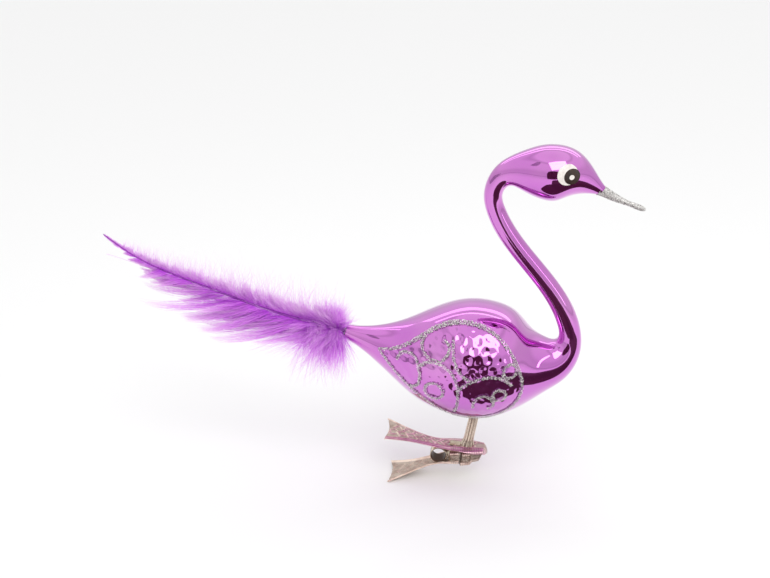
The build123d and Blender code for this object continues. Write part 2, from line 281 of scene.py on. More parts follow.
def glitter():
    """Silver glitter seen as a whole, under the single grains."""
    material, tree, shader = new_material("silver_glitter", Metallic=0.9, Specular_IOR_Level=0.6)
    grains = add_noise(tree, 2.6, kind="ShaderNodeTexVoronoi")
    colour = add_ramp(
        tree, grains.outputs["Color"], (0.0, (0.10, 0.095, 0.10)), (0.4, (0.34, 0.33, 0.33)),
        (0.7, (0.56, 0.55, 0.54)), (1.0, (0.90, 0.89, 0.86)),
    )
    tree.links.new(colour, shader.inputs["Base Color"])
    shine = add_noise(tree, 1.1)
    tree.links.new(add_range(tree, shine.outputs["Fac"], 0.2, 0.5), shader.inputs["Roughness"])
    add_bump(tree, shader, grains.outputs["Distance"], 0.5, 0.12)
    return material


def grain_foil():
    """Single grains of glitter, each with a shade of its own."""
    material, tree, shader = new_material("glitter_grains", Metallic=0.55, Specular_IOR_Level=0.7)
    colour = add_ramp(
        tree, add_attribute(tree, "tone"), (0.0, (0.07, 0.065, 0.065)), (0.3, (0.38, 0.37, 0.36)),
        (0.6, (0.78, 0.76, 0.74)), (0.85, (1.0, 0.98, 0.95)),
    )
    tree.links.new(colour, shader.inputs["Base Color"])
    shine = add_noise(tree, 1.1)
    tree.links.new(add_range(tree, shine.outputs["Fac"], 0.15, 0.5), shader.inputs["Roughness"])
    return material


def paint(name, dark, light, roughness, coat):
    """Brushed-on enamel whose colour varies a little between dark and light."""
    material, tree, shader = new_material(name, Coat_Weight=coat, Coat_Roughness=0.08)
    strokes = add_noise(tree, 0.9)
    tree.links.new(
        add_ramp(tree, strokes.outputs["Fac"], (0.3, dark), (0.7, light)), shader.inputs["Base Color"]
    )
    tree.links.new(
        add_range(tree, strokes.outputs["Fac"], roughness, roughness + 0.15), shader.inputs["Roughness"]
    )
    add_bump(tree, shader, strokes.outputs["Fac"], 0.2, 0.08)
    return material


# A Mix node's colour sockets, which share their names with those of its other data types.
COLOUR_A, COLOUR_B, COLOUR_RESULT = 6, 7, 2


def mix_colour(tree, amount, colour, other):
    """The colour, turning into the other as the amount goes from 0 to 1."""
    mixed = tree.nodes.new("ShaderNodeMix")
    mixed.data_type = "RGBA"
    tree.links.new(amount, mixed.inputs["Factor"])
    tree.links.new(colour, mixed.inputs[COLOUR_A])
    mixed.inputs[COLOUR_B].default_value = (*other, 1)
    return mixed.outputs[COLOUR_RESULT]


def tin(name, dark, light, roughness, patina_and_shade=(0.05, 0.03, 0.025), blush=(0.62, 0.28, 0.46)):
    """Plated tin with a little tarnish, dulled to a dark colour where the shade attribute is high (patina
    and painted shade in hollows, painted shade in the spring's roll), and a painted pink reflection of the
    purple glass where its own attribute is high.
    """
    material, tree, shader = new_material(name)
    shade = add_attribute(tree, "shade")
    # Where shade is high the tin loses its metal shine and its specular, so the painted shade there reads
    # dark.
    tree.links.new(add_range(tree, shade, 1.0, 0.1), shader.inputs["Metallic"])
    tree.links.new(add_range(tree, shade, 0.5, 0.03), shader.inputs["Specular IOR Level"])
    tarnish = add_noise(tree, 0.35, 5.0)
    colour = add_ramp(tree, tarnish.outputs["Fac"], (0.32, dark), (0.62, light))
    # Painted pink reflection of the purple glass, mixed in by its attribute.
    colour = mix_colour(tree, add_attribute(tree, "blush"), colour, blush)
    # The dark colour mixed in by the shade attribute: partly patina in hollows, partly painted shade.
    colour = mix_colour(tree, shade, colour, patina_and_shade)
    tree.links.new(colour, shader.inputs["Base Color"])
    grain = add_noise(tree, 1.8, 4.0)
    tree.links.new(
        add_range(tree, grain.outputs["Fac"], roughness, roughness + 0.16), shader.inputs["Roughness"]
    )
    add_bump(tree, shader, grain.outputs["Fac"], 0.5, 0.1)
    return material


def barb_fibre():
    """Dyed down, deep at the quill and pale at the thin ends."""
    material, tree, shader = new_material("feather_barbs", Roughness=0.6)
    along = add_attribute(tree, "along")
    dye = add_noise(tree, 0.12, 3.0)
    mixed = tree.nodes.new("ShaderNodeMath")
    mixed.operation = "MULTIPLY_ADD"
    tree.links.new(dye.outputs["Fac"], mixed.inputs[0])
    mixed.inputs[1].default_value = 0.3
    tree.links.new(along, mixed.inputs[2])
    colour = add_ramp(
        tree, mixed.outputs["Value"], (0.1, (0.66, 0.08, 0.88)), (0.4, (0.78, 0.22, 0.92)),
        (0.7, (0.88, 0.46, 0.95)), (1.0, (0.96, 0.78, 0.97)),
    )
    tree.links.new(colour, shader.inputs["Base Color"])
    return material


def quill_horn():
    """Dyed horn of the quill, in streaks."""
    material, tree, shader = new_material("feather_shaft", Coat_Weight=0.2)
    streaks = add_noise(tree, 0.5, 2.0)
    colour = add_ramp(
        tree, streaks.outputs["Fac"], (0.3, (0.20, 0.012, 0.30)), (0.7, (0.34, 0.05, 0.46))
    )
    tree.links.new(colour, shader.inputs["Base Color"])
    tree.links.new(add_range(tree, streaks.outputs["Fac"], 0.3, 0.5), shader.inputs["Roughness"])
    return material


def glue():
    """Slightly cloudy clear glue."""
    material, tree, shader = new_material(
        "clear_glue", Transmission_Weight=0.85, IOR=1.48, Coat_Weight=0.3
    )
    cloud = add_noise(tree, 0.7)
    colour = add_ramp(tree, cloud.outputs["Fac"], (0.3, (0.80, 0.72, 0.80)), (0.7, (0.96, 0.92, 0.94)))
    tree.links.new(colour, shader.inputs["Base Color"])
    tree.links.new(add_range(tree, cloud.outputs["Fac"], 0.08, 0.25), shader.inputs["Roughness"])
    return material


GLASS = silvered_glass()
GLITTER = glitter()
GRAINS = grain_foil()
WHITE_PAINT = paint("white_paint", (0.72, 0.66, 0.62), (0.88, 0.83, 0.79), 0.25, 0.4)
BLACK_PAINT = paint("black_paint", (0.014, 0.006, 0.004), (0.045, 0.017, 0.01), 0.35, 0.12)
STAMPED_TIN = tin("stamped_tin", (0.66, 0.48, 0.40), (0.97, 0.81, 0.68), 0.22)
ROLLED_TIN = tin("rolled_tin", (0.55, 0.44, 0.36), (0.79, 0.67, 0.55), 0.16)
# The spring's dark colour is painted shade inside and under its roll.
SPRING_STRIP = tin("spring_strip", (0.50, 0.37, 0.26), (0.80, 0.70, 0.55), 0.06, (0.07, 0.028, 0.018))
BARBS = barb_fibre()
SHAFT = quill_horn()
GLUE = glue()

# ---------------------------------------------------------------- glass

GLASS_LENGTH, glass_x, glass_z, glass_radius, glass_heading = through_stations(GLASS_STATIONS)
GLASS_SIDES = 192
LIP = GLASS_WALL / 2  # radius of the mouth's rounded rim
# Lengths along the tube: the mouth and tail end at the first, the body at the second.
TAIL_END, BODY_END = 6, 80
TAIL_STEP, BODY_STEP, NECK_STEP = 0.6, 0.42, 0.75  # between the skin's rings
MOUTH_RINGS = [1.5, 3.0, 4.5]  # lengths of the rings inside the mouth

DIMPLE_SPAN_X, DIMPLE_SPAN_Z = (-36, 15), (18, 56)
DIMPLE_PITCH = 3.3
DIMPLE_ROW_PITCH = DIMPLE_PITCH * 0.87
DIMPLE_RADIUS = 1.75
DIMPLE_DEPTH = 0.38
WING_MARGIN = 1.0  # the dimples stop this far inside the wing's outline
WING_FADE = 1.5  # and reach their full depth this much further in
BELLY_DEPTH = 0.35  # share of their depth left on the belly
BELLY_LOW, BELLY_HIGH = 27, 35  # Z between which it changes


def closed_curve(points, count=240):
    """Points along a smooth closed curve through the given ones."""
    lap = 3  # points that run on past the seam at each end
    table = np.array(points[-lap:] + points + points[:lap], dtype=float)
    knots = np.arange(len(table), dtype=float)
    x, z = (natural_cubic(knots, column) for column in table.T)
    places = np.linspace(lap, lap + len(points), count, endpoint=False)
    return np.stack([x(places), z(places)], axis=1)


def depth_inside(points, outline):
    """Distance of each point inside a closed outline, and 0 for points outside it."""
    ends = np.roll(outline, -1, axis=0)
    inside = np.zeros(len(points), dtype=bool)
    nearest = np.full(len(points), 1e9)
    for (ax, az), (bx, bz) in zip(outline, ends):
        crosses = (az > points[:, 1]) != (bz > points[:, 1])
        at = ax + (points[:, 1] - az) * (bx - ax) / (bz - az if bz != az else 1e-9)
        inside ^= crosses & (points[:, 0] < at)
        edge = np.array([bx - ax, bz - az])
        t = np.clip(((points - (ax, az)) @ edge) / (edge @ edge), 0, 1)
        nearest = np.minimum(nearest, np.linalg.norm(points - (ax, az) - t[:, None] * edge, axis=1))
    return np.where(inside, nearest, 0)


def dimple_centres():
    """Hammered-looking dimples in loose rows over the wing: X, Z and a strength for each."""
    even = []
    for row, z in enumerate(np.arange(*DIMPLE_SPAN_Z, DIMPLE_ROW_PITCH)):
        for x in np.arange(*DIMPLE_SPAN_X, DIMPLE_PITCH) + (row % 2) * DIMPLE_PITCH / 2:
            even.append((x, z))
    centres = np.array(even) + rng.normal(0, 0.4, (len(even), 2))
    return np.column_stack([centres, rng.uniform(0.7, 1.1, len(even))])


wing_outline = closed_curve(WING_OUTLINE)
dimples = dimple_centres()


def dimple_depth(points):
    """How far the wing's skin is pressed in at each (X, Z)."""
    reach = smooth_step(WING_MARGIN, WING_MARGIN + WING_FADE, depth_inside(points, wing_outline))
    pressed = np.zeros(len(points))
    live = np.flatnonzero(reach > 0)
    for x, z, strength in dimples:
        near = live[np.hypot(points[live, 0] - x, points[live, 1] - z) < DIMPLE_RADIUS]
        t = np.hypot(points[near, 0] - x, points[near, 1] - z) / DIMPLE_RADIUS
        pressed[near] += strength * (1 - t**2) ** 2
    flat_belly = BELLY_DEPTH + (1 - BELLY_DEPTH) * smooth_step(BELLY_LOW, BELLY_HIGH, points[:, 1])
    return DIMPLE_DEPTH * reach * pressed * flat_belly


def glass_rings(lengths, grow=0.0):
    """Rings of points round the tube at these lengths, with the outward direction at each point."""
    heading = np.radians(glass_heading(lengths))
    up = np.stack([-np.sin(heading), np.zeros_like(heading), np.cos(heading)], axis=1)
    centre = np.stack([glass_x(lengths), np.zeros_like(heading), glass_z(lengths)], axis=1)
    out = directions_round(up, GLASS_SIDES)
    radius = glass_radius(lengths) + grow
    return centre[:, None, :] + out * radius[:, None, None], out


def build_glass():
    """The whole tube: its skin, the rim of the mouth and the first few millimetres inside it."""
    lengths = np.concatenate(
        [
            np.arange(0, TAIL_END, TAIL_STEP), np.arange(TAIL_END, BODY_END, BODY_STEP),
            np.arange(BODY_END, GLASS_LENGTH, NECK_STEP), [GLASS_LENGTH],
        ]
    )
    skin, out = glass_rings(lengths)
    flat = skin.reshape(-1, 3)
    on_body = np.repeat(lengths < BODY_END, GLASS_SIDES)
    drawn = flat[on_body][:, [0, 2]]
    drawn[:, 1] += LEFT_WING_DROP * (flat[on_body][:, 1] > 0)
    pressed = np.zeros(len(flat))
    pressed[on_body] = dimple_depth(drawn)
    skin = (flat - out.reshape(-1, 3) * pressed[:, None]).reshape(skin.shape)

    heading = radians(glass_heading(np.array([0.0]))[0])
    ahead = np.array([cos(heading), 0, sin(heading)])
    mouth, mouth_out = glass_rings(np.zeros(1))
    lip = []
    for turn in np.linspace(0, pi, 9)[1:]:
        lip.append(mouth[0] - mouth_out[0] * LIP * (1 - cos(turn)) - ahead * LIP * sin(turn))
    inner, _ = glass_rings(np.array(MOUTH_RINGS), -GLASS_WALL)
    rings = [*inner[::-1], *lip[::-1], *skin]
    faces = [face[::-1] for face in tube_faces(len(rings), GLASS_SIDES)]
    new_piece("swan_glass", np.vstack(rings), faces, GLASS, ["glass_swan"])


build_glass()

# ---------------------------------------------------------------- glitter grains

# Corners of a grain's faces: the first four run round its waist, then come its top and its foot.
GRAIN_FACES = np.array(
    [(0, 1, 4), (1, 2, 4), (2, 3, 4), (3, 0, 4), (1, 0, 5), (2, 1, 5), (3, 2, 5), (0, 3, 5)]
)
GRAIN_CORNERS = 6
GRAIN_LEAN = 0.55
BEAK_START = 150  # length along the tube, a little before the beak
BEAK_LINE_POINTS = 200


def node_triangles(node):
    """Corner points, normals and areas of a CAD node's triangles, in millimetres."""
    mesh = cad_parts[node].data
    mesh.calc_loop_triangles()
    corners = np.zeros(len(mesh.vertices) * 3)
    mesh.vertices.foreach_get("co", corners)
    index = np.zeros(len(mesh.loop_triangles) * 3, dtype=np.int32)
    mesh.loop_triangles.foreach_get("vertices", index)
    triangles = corners.reshape(-1, 3)[index.reshape(-1, 3)] / MM
    cross = np.cross(triangles[:, 1] - triangles[:, 0], triangles[:, 2] - triangles[:, 0])
    area = np.linalg.norm(cross, axis=1) / 2
    return triangles, unit(cross), area


def scatter_grains(node, facing, per_square, size, replaces=()):
    """A coat of small faceted grains on the triangles of a CAD node that pass the facing test."""
    triangles, normals, area = node_triangles(node)
    keep = facing(triangles.mean(axis=1), normals)
    triangles, normals, area = triangles[keep], normals[keep], area[keep]
    count = int(area.sum() * per_square)
    pick = rng.choice(len(area), count, p=area / area.sum())
    a, b = rng.random((2, count, 1))
    fold = a + b > 1
    a, b = np.where(fold, 1 - a, a), np.where(fold, 1 - b, b)
    corner, side, other = triangles[pick].transpose(1, 0, 2)
    centre = corner + (side - corner) * a + (other - corner) * b
    axis = unit(normals[pick] + rng.normal(0, GRAIN_LEAN, (count, 3)))
    across = unit(np.cross(axis, rng.normal(0, 1, (count, 3))))
    along = np.cross(axis, across)
    wide = size * rng.uniform(0.65, 1.25, (count, 1))
    tall = size * rng.uniform(0.3, 0.7, (count, 1))
    centre = centre + normals[pick] * tall * 0.3
    points = np.stack(
        [
            centre + across * wide, centre + along * wide * 0.85, centre - across * wide * 0.9,
            centre - along * wide, centre + axis * tall, centre - axis * tall,
        ],
        axis=1,
    )
    faces = (GRAIN_FACES[None] + GRAIN_CORNERS * np.arange(count)[:, None, None]).reshape(-1, 3)
    piece = new_piece(f"{node}_grains", points, faces, GRAINS, replaces, sharp=5)
    give_attribute(piece, "tone", np.repeat(rng.random(count), GRAIN_CORNERS))


def flank_side(side):
    """Test for the outer faces of a flank's glitter; side is -1 on the right and 1 on the left."""
    return lambda middle, normal: normal[:, 1] * side > 0.02


def off_beak(middle, normal):
    """True for the faces of the beak's coat that face away from its middle."""
    lengths = np.linspace(BEAK_START, GLASS_LENGTH, BEAK_LINE_POINTS)
    line = np.stack([glass_x(lengths), np.zeros(BEAK_LINE_POINTS), glass_z(lengths)], axis=1)
    nearest = np.argmin(np.linalg.norm(middle[:, None] - line[None], axis=2), axis=1)
    return np.einsum("ij,ij->i", normal, middle - line[nearest]) > 0


for node, side in (("wing_glitter_right", -1), ("wing_glitter_left", 1)):
    scatter_grains(node, flank_side(side), per_square=19, size=0.185, replaces=[node])
scatter_grains("beak_glitter", off_beak, per_square=34, size=0.14)

# ---------------------------------------------------------------- CAD nodes that keep their shape

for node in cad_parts.values():
    for part, material in (
        ("glitter", GLITTER), ("eye_white", WHITE_PAINT), ("eye_glint", WHITE_PAINT),
        ("eye_pupil", BLACK_PAINT), ("glue_bead", GLUE),
    ):
        if part in node.name:
            node.data.materials.clear()
            node.data.materials.append(material)

# ---------------------------------------------------------------- feather

QUILL_LENGTH, quill_x, quill_z, quill_radius = through_stations(QUILL_STATIONS)
QUILL_OUT = 9.05  # along the quill, where it leaves the glass
SHAFT_RINGS, SHAFT_SIDES = 90, 12
STRAND_LIMIT = -130.5  # X beyond which the strands' tips are drawn back
DRAWN_BACK = 0.9  # share of that overshoot taken off
SWAY_LENGTH = 15  # of a strand that sways by its whole wave


def quill_frame(s):
    """Place on the quill, its direction to the tip and the upward direction square to it."""
    level = np.zeros_like(s)
    place = np.stack([quill_x(s), level, quill_z(s)], axis=-1)
    rise = quill_z(s + 1) - quill_z(s - 1)
    ahead = unit(np.stack([quill_x(s + 1) - quill_x(s - 1), level, rise], axis=-1))
    up = np.stack([ahead[..., 2], level, -ahead[..., 0]], axis=-1)
    return place, ahead, up


def build_shaft():
    lengths = np.linspace(0, QUILL_LENGTH, SHAFT_RINGS)
    place, _, up = quill_frame(lengths)
    out = directions_round(up, SHAFT_SIDES)
    points = place[:, None, :] + out * quill_radius(lengths)[:, None, None]
    faces = tube_faces(SHAFT_RINGS, SHAFT_SIDES)
    new_piece("feather_shaft", points, faces, SHAFT, ["feather_quill"])


def build_strands(name, roots, middles, tips, width, replaces=(), tone=0.0, steps=9, wave=0.35):
    """Thin ribbons along curves that start at roots, head for middles and end at tips.

    tone shifts them along the barbs' colours, and wave is how far they sway at SWAY_LENGTH.
    """
    count = len(roots)
    tips[:, 0] -= DRAWN_BACK * np.minimum(tips[:, 0] - STRAND_LIMIT, 0)
    t = np.linspace(0, 1, steps)[None, :, None]
    line = roots[:, None] * (1 - t) ** 2 + middles[:, None] * 2 * t * (1 - t) + tips[:, None] * t**2
    length = np.linalg.norm(tips - roots, axis=1)[:, None, None]
    sway = unit(rng.normal(0, 1, (count, 1, 3)))
    phase = rng.uniform(0, 2 * pi, (count, 1, 1))
    turns = rng.uniform(1.0, 2.2, (count, 1, 1))
    line = line + sway * wave * (length / SWAY_LENGTH) * t * np.sin(phase + 2 * pi * turns * t)
    ahead = unit(np.gradient(line, axis=1))
    across = unit(np.cross(ahead, unit(rng.normal(0, 1, (count, 1, 3)))))
    taper = width * rng.uniform(0.6, 1.3, (count, 1, 1)) * ((1 - t) ** 0.8 + 0.12) / 2
    points = np.stack([line - across * taper, line + across * taper], axis=2)
    base = grid_faces(steps, 2)
    faces = (base[None] + 2 * steps * np.arange(count)[:, None, None]).reshape(-1, 4)
    piece = new_piece(name, points, faces, BARBS, replaces)
    along = np.clip(t[0, :, 0] * 0.85 + tone, 0, 1)
    give_attribute(piece, "along", np.tile(np.repeat(along, 2), count))


def vane_strands(side, clumps, per_clump, height, lean_root, lean_tip, spread, sideways, draw, ragged):
    """Roots, middles and tips of one vane's barbs, in locks whose ends draw together.

    side is 1 above the quill and -1 below it. height gives how far the vane reaches from the quill at
    each length along it. The leans are degrees away from the quill. spread and sideways scatter a
    lock's barbs along the quill and off the vane's plane. draw is how far the tips are pulled
    together, and ragged the shortest lock's share of the height.
    """
    start, end = QUILL_OUT + 1.5, QUILL_LENGTH - 0.5
    centre = start + (end - start) * rng.random(clumps) ** 1.12
    lock = np.repeat(np.arange(clumps), per_clump)
    count = len(lock)
    s = np.clip(centre[lock] + rng.normal(0, spread, count), start, end)
    scatter = rng.normal(0, sideways, (clumps, 1))[lock] + rng.normal(0, sideways * 0.5, (count, 1))
    lean_r = np.radians(lean_root + rng.normal(0, 7, clumps)[lock] + rng.normal(0, 5, count))[:, None]
    lean_t = np.radians(lean_tip + rng.normal(0, 6, clumps)[lock] + rng.normal(0, 4, count))[:, None]
    reach = height(s)[:, None] * rng.uniform(ragged, 1.15, (clumps, 1))[lock]
    short = np.where(
        rng.random((count, 1)) < 0.45, rng.uniform(0.25, 0.8, (count, 1)), rng.uniform(0.8, 1.05, (count, 1))
    )
    length = reach * short / (0.5 * np.sin(lean_r) + 0.5 * np.sin(lean_t))
    place, ahead, up = quill_frame(s)
    out = up * side
    off_plane = LEFTWARD * scatter
    middle = place + (ahead * np.cos(lean_r) + out * np.sin(lean_r) + off_plane) * length * 0.5
    tip = middle + (ahead * np.cos(lean_t) + out * np.sin(lean_t) + off_plane) * length * 0.5
    summed = np.zeros((clumps, 3))
    np.add.at(summed, lock, tip)
    shared_end = (summed / per_clump)[lock]
    pull = draw * short
    tip = tip * (1 - pull) + shared_end * pull
    root = place + out * quill_radius(s)[:, None] * 0.7
    return root, middle, tip


def lengths_to_heights(table):
    """Reach from the quill for a length along it, from (X of the quill, reach) pairs."""
    xs, reach = np.array(table, dtype=float).T
    return lambda s: np.interp(-quill_x(s), -xs, reach)


UPPER_REACH = lengths_to_heights(
    [(-47, 7), (-62, 6.6), (-79, 6.4), (-89, 5.2), (-100, 3.8), (-110, 2.8), (-119, 1.5), (-127, 0.5)]
)
LOWER_REACH = lengths_to_heights(
    [
        (-46, 14), (-56, 16), (-65, 15), (-76, 12.8), (-88, 10), (-100, 6.2), (-113, 3.2), (-122, 1.1),
        (-128, 0.4),
    ]
)


def build_vanes():
    upper = vane_strands(
        1, clumps=300, per_clump=26, height=UPPER_REACH, lean_root=62, lean_tip=45,
        spread=0.9, sideways=0.3, draw=0.35, ragged=0.7,
    )
    build_strands("feather_vane_upper_barbs", *upper, 0.1, ["feather_vane_upper"])
    lower = vane_strands(
        -1, clumps=62, per_clump=105, height=LOWER_REACH, lean_root=38, lean_tip=13,
        spread=0.8, sideways=0.22, draw=0.9, ragged=0.45,
    )
    build_strands("feather_vane_lower_barbs", *lower, 0.11, ["feather_vane_lower"])


def build_down():
    """Loose down round the quill's foot, in tufts that fan out all round and over the tail."""
    tufts, per_tuft = 190, 50
    tuft = np.repeat(np.arange(tufts), per_tuft)
    count = len(tuft)
    s = QUILL_OUT + np.abs(rng.normal(0, 5.5, tufts))[tuft] + rng.normal(0, 0.7, count)
    place, ahead, up = quill_frame(np.maximum(s, QUILL_OUT))
    turn = rng.uniform(0, 2 * pi, tufts)[tuft][:, None] + rng.normal(0, 0.12, (count, 1))
    out = up * np.cos(turn) + LEFTWARD * np.sin(turn) * 0.8
    lean = rng.normal(-0.05, 0.6, tufts)[tuft][:, None] + rng.normal(0, 0.1, (count, 1))
    heading = unit(out + ahead * lean)
    below = smooth_step(0.3, 0.9, -np.cos(turn))
    length = (rng.uniform(6, 12, tufts)[tuft] * rng.uniform(0.3, 1.05, count))[:, None]
    length = length * (1 + 1.1 * below)
    bow = rng.normal(0.25, 0.4, tufts)[tuft][:, None]
    droop = unit(heading + ahead * bow + rng.normal(0, 0.15, (count, 3)))
    middle = place + heading * length * 0.5
    tip = middle + droop * length * 0.5
    build_strands("feather_down", place, middle, tip, 0.12, ["feather_fluff"], tone=-0.2)


def build_filaments():
    """Sparse long hairs that stand clear of the vanes."""
    count = 2300
    s = rng.uniform(QUILL_OUT, QUILL_LENGTH - 8, count)
    place, ahead, up = quill_frame(s)
    side = np.where(rng.random(count) < 0.78, 1.0, -1.0)[:, None]
    upper_lean, lower_lean = rng.uniform(52, 98, (count, 1)), rng.uniform(8, 35, (count, 1))
    lean = np.radians(np.where(side > 0, upper_lean, lower_lean))
    reach = np.where(side > 0, 2 + UPPER_REACH(s)[:, None] * 2.5, LOWER_REACH(s)[:, None] * 1.1)
    length = reach * (0.25 + 0.8 * rng.random((count, 1)) ** 1.1)
    stray = rng.normal(0, (0.12, 0.08, 0.12), (count, 3))
    heading = unit(ahead * np.cos(lean) + up * side * np.sin(lean) + stray)
    middle = place + heading * length * 0.5
    tip = middle + unit(heading + rng.normal(0, (0.3, 0.18, 0.3), (count, 3))) * length * 0.5
    build_strands("feather_filaments", place, middle, tip, 0.085, tone=0.2, steps=14, wave=0.9)


build_shaft()
build_vanes()
build_down()
build_filaments()

# ---------------------------------------------------------------- clip levers

LEVER_ROWS, LEVER_COLUMNS = 230, 97
LEVER_FLARE = 0.6  # the sheet runs this far past the CAD's tail and nose
TAIL_HOLLOW = 1.2  # depth of the fishtail's curve
TOOTH_PITCH, TOOTH_DEPTH = 2.0, 0.35
SLOT_X, SLOT_HALF_LENGTH, SLOT_HALF_WIDTH = -11.13, 0.4, 1.72  # the spring's slot
RELIEF_HEIGHT = 0.3
STROKE_WIDTH = 0.22  # of the stamped pattern
BORDER_WIDTH = 0.3
CURLS = np.arange(-31.2, -2.0, 1.55)  # X of the pattern's curls
# X, and the half-width that the pattern fills there.
PATTERN_ROOM = [-30, -24, -15, -2], [4.2, 2.5, 1.9, 2.2]


def along_lever(pairs):
    """Smooth value along X through (X, value) pairs."""
    xs, values = np.array(pairs, dtype=float).T
    cubic = natural_cubic(xs, values)
    return lambda x: np.where(x < xs[0], values[0], np.where(x > xs[-1], values[-1], cubic(x)))


def lever_relief(x, y, face):
    """Height, up to about 1, of a border and running leaves and curls; face is the half-width."""
    strokes = []
    for k, centre in enumerate(CURLS):
        side = 1 if k % 2 else -1
        room = float(np.interp(centre, *PATTERN_ROOM))
        t = np.linspace(0, 1, 26)
        curl = room * 0.42 * (1 - 0.75 * t)
        curl_y = room * 0.5 + curl * np.sin(4.4 * t) * 0.8
        strokes.append(np.stack([centre + curl * np.cos(4.4 * t), side * curl_y], 1))
        leaf = np.linspace(-0.5, 0.5, 14)
        bow = 0.35 * np.cos(leaf * pi)
        leaf_y = room * 0.6 + leaf * room * 0.6
        strokes.append(np.stack([centre + 0.8 + leaf + bow, -side * leaf_y], 1))
    stem = np.linspace(-31.5, -7.5, 180)
    strokes.append(np.stack([stem, 0.5 * np.sin(stem * 2.03)], 1))
    pattern = np.vstack(strokes)
    flat_x, flat_y = x.ravel(), y.ravel()
    nearest = np.full(flat_x.shape, 1e9)
    for px, py in pattern:
        nearest = np.minimum(nearest, (flat_x - px) ** 2 + (flat_y - py) ** 2)
    height = np.exp(-nearest / STROKE_WIDTH**2).reshape(x.shape)
    inset = face - np.abs(y)
    border = 0.7 * np.exp(-((inset - BORDER_WIDTH) / BORDER_WIDTH) ** 2)
    return (height * smooth_step(BORDER_WIDTH, 3 * BORDER_WIDTH, inset) + border) * (inset > 0)


def lever_surface(lever):
    """Outer points of a lever, row by row from the tail, with its painted darkness (patina and painted
    shade) and its painted pink reflection.

    Both levers are drawn the upper way up. u runs along the lever, and p from its right edge to its
    left. The sides and the nose turn down over a quarter circle.
    """
    tail_x, nose_x = lever["tail"] - LEVER_FLARE, lever["nose"] + LEVER_FLARE
    half_width = along_lever(
        [
            (tail_x, 7.75), (tail_x + 8.4, 4.6), (ROLL_X, 3.6), (-9.5, 4.5), (nose_x - 3.8, 4.4),
            (nose_x, 2.9),
        ]
    )
    face_share = along_lever([(-33, 0.88), (-24, 0.8), (ROLL_X, 0.66), (-8, 0.58), (0, 0.55)])
    u = np.linspace(0, 1, LEVER_ROWS)[:, None]
    p = np.linspace(-1, 1, LEVER_COLUMNS)[None, :]
    start = tail_x + TAIL_HOLLOW * (1 - p**2)
    end = nose_x - lever["point"] * p**2
    x = start + (end - start) * u
    half = half_width(x)
    share = face_share(x)
    over = np.clip((np.abs(p) - share) / (1 - share), 0, 1)
    turned = over * pi / 2
    corner = half * (1 - share)
    y = np.sign(p) * np.where(over > 0, half - corner * (1 - np.sin(turned)), np.abs(p) * half)
    level = along_lever(lever["level"])(x) + SHEET / 2
    nose = np.clip((x - end + lever["bend"]) / lever["bend"], 0, 1) * pi / 2
    teeth = TOOTH_DEPTH * np.abs(((y / TOOTH_PITCH) % 1) * 2 - 1) * (nose >= pi / 2)
    drop = along_lever(lever["drop"])(x) * (1 - np.cos(turned))
    drop = np.maximum(drop, (lever["bite"] - teeth) * (1 - np.cos(nose)) * (1 - 0.25 * over))
    x = np.where(nose > 0, end - lever["bend"] * (1 - np.sin(nose)), x)
    relief = lever_relief(x, y, half * share) * np.cos(nose)
    first, last, step = lever["step"]
    raised = step * smooth_step(first, first + 0.3, x) * smooth_step(last + 0.9, last, x)
    z = level - drop + RELIEF_HEIGHT * relief + raised

    on_face = smooth_step(1.0, 0.9, np.abs(y) / (half * share))
    # Painted darkness over the face's low ground between the raised strokes: partly patina, partly painted
    # shade.
    hollows = on_face * (1 - smooth_step(0.05, 0.55, relief))
    # Painted shade of a stamped diamond pattern on the jaw's turned-down sides, which have no relief of
    # their own.
    jaw_sides = smooth_step(-11, -10, x) * (1 - on_face)
    waves = np.sin(4.6 * x + 3.2 * turned) * np.sin(3.4 * x - 5.0 * turned)
    shade = lever["hollows"] * np.maximum(hollows, jaw_sides * smooth_step(-0.1, 0.25, waves))
    # Painted shade in a line along the foot of the raised pad's rise.
    shade = np.maximum(shade, 0.8 * (np.abs(x - first - 0.1) < 0.3) * (step > 0))
    # Darker towards the nose, by the amount that the lever gives.
    shade = np.maximum(shade, lever["nose_darkening"] * smooth_step(-4.5, -2.5, x))
    # Painted pink reflection of the purple glass, strongest on the turned-down sides and towards the swan.
    blush = lever["blush"] * (0.35 + 0.65 * (1 - on_face)) * smooth_step(-31, -22, x)
    return np.stack([x, y, z], axis=2), shade, blush


def build_lever(name, lever, node, body):
    """A lever as a bent sheet of even thickness, with its slot and edges closed."""
    outer, shade, blush = lever_surface(lever)
    along = np.gradient(outer, axis=0)
    across = np.gradient(outer, axis=1)
    inward = -unit(np.cross(along, across))
    if inward[LEVER_ROWS // 4, LEVER_COLUMNS // 2, 2] > 0:
        inward = -inward
    inner = outer + inward * SHEET
    x, y = outer[:, :, 0], outer[:, :, 1]
    slot = (np.abs(x - SLOT_X) < SLOT_HALF_LENGTH) & (np.abs(y) < SLOT_HALF_WIDTH)
    quads = grid_faces(LEVER_ROWS, LEVER_COLUMNS)
    quads = quads[~slot.ravel()[quads].all(axis=1)]
    size = LEVER_ROWS * LEVER_COLUMNS
    edges = np.vstack([quads[:, [k, (k + 1) % 4]] for k in range(4)])
    known = set(map(tuple, edges.tolist()))
    # An edge that no neighbour runs back along lies on the rim.
    rim = [(b, a, a + size, b + size) for a, b in known if (b, a) not in known]
    faces = np.vstack([quads, quads[:, ::-1] + size, np.array(rim)])
    points = np.concatenate([outer.reshape(-1, 3), inner.reshape(-1, 3)])
    if lever["flip"]:
        points = points * (1, 1, -1)
    else:
        faces = faces[:, ::-1]
    piece = new_piece(name, points, faces, STAMPED_TIN, [node], body, sharp=50)
    give_attribute(piece, "shade", np.tile(shade.ravel(), 2))
    give_attribute(piece, "blush", np.tile(blush.ravel(), 2))
